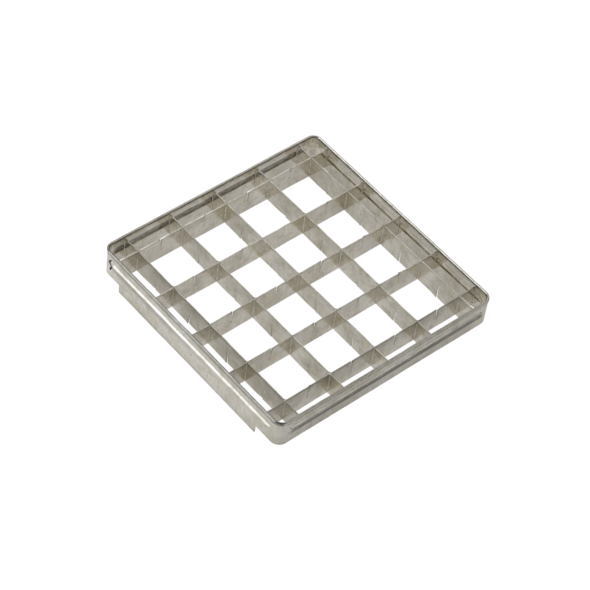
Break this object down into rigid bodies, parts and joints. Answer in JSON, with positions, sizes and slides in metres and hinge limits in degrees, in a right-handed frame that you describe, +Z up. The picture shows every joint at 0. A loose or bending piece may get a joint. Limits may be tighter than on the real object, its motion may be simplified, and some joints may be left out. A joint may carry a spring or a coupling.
{
  "type": "flower frog",
  "caption": "Square lattice flower frog: a low rolled-rim metal band with slotted strips soldered across it, on two foot tabs.",
  "frame": {"origin": "under the middle of the band, on the plane that the foot tabs stand on", "axes": "+Z up; X runs along the across strips and at right angles to the two sides that carry the foot tabs; Y runs along those two sides"},
  "size_m": [0.1222, 0.1222, 0.0191],
  "materials": {
    "plated_band": "worn silver plate, polished, tarnished",
    "plated_strip": "worn silver plate, satin, stained",
    "solder": "soft solder, dull"
  },
  "bodies": {
    "root": {"frame_band": "plated_band", "strip_across_1": "plated_strip", "strip_across_2": "plated_strip", "strip_across_3": "plated_strip", "strip_across_4": "plated_strip", "strip_across_5": "plated_strip", "strip_along_1": "plated_strip", "strip_along_2": "plated_strip", "strip_along_3": "plated_strip", "strip_along_4": "plated_strip", "strip_along_5": "plated_strip", "solder_crossing_1_1": "solder", "solder_crossing_1_2": "solder", "solder_crossing_1_3": "solder", "solder_crossing_1_4": "solder", "solder_crossing_1_5": "solder", "solder_crossing_2_1": "solder", "solder_crossing_2_2": "solder", "solder_crossing_2_3": "solder", "solder_crossing_2_4": "solder", "solder_crossing_2_5": "solder", "solder_crossing_3_1": "solder", "solder_crossing_3_2": "solder", "solder_crossing_3_3": "solder", "solder_crossing_3_4": "solder", "solder_crossing_3_5": "solder", "solder_crossing_4_1": "solder", "solder_crossing_4_2": "solder", "solder_crossing_4_3": "solder", "solder_crossing_4_4": "solder", "solder_crossing_4_5": "solder", "solder_crossing_5_1": "solder", "solder_crossing_5_2": "solder", "solder_crossing_5_3": "solder", "solder_crossing_5_4": "solder", "solder_crossing_5_5": "solder", "solder_along_1_back": "solder", "solder_along_1_front": "solder", "solder_along_2_back": "solder", "solder_along_2_front": "solder", "solder_along_3_back": "solder", "solder_along_3_front": "solder", "solder_along_4_back": "solder", "solder_along_4_front": "solder", "solder_along_5_back": "solder", "solder_along_5_front": "solder", "solder_across_1_left": "solder", "solder_across_1_right": "solder", "solder_across_2_left": "solder", "solder_across_2_right": "solder", "solder_across_3_left": "solder", "solder_across_3_right": "solder", "solder_across_4_left": "solder", "solder_across_4_right": "solder", "solder_across_5_left": "solder", "solder_across_5_right": "solder", "seam_solder": "solder"}
  },
  "joints": []
}
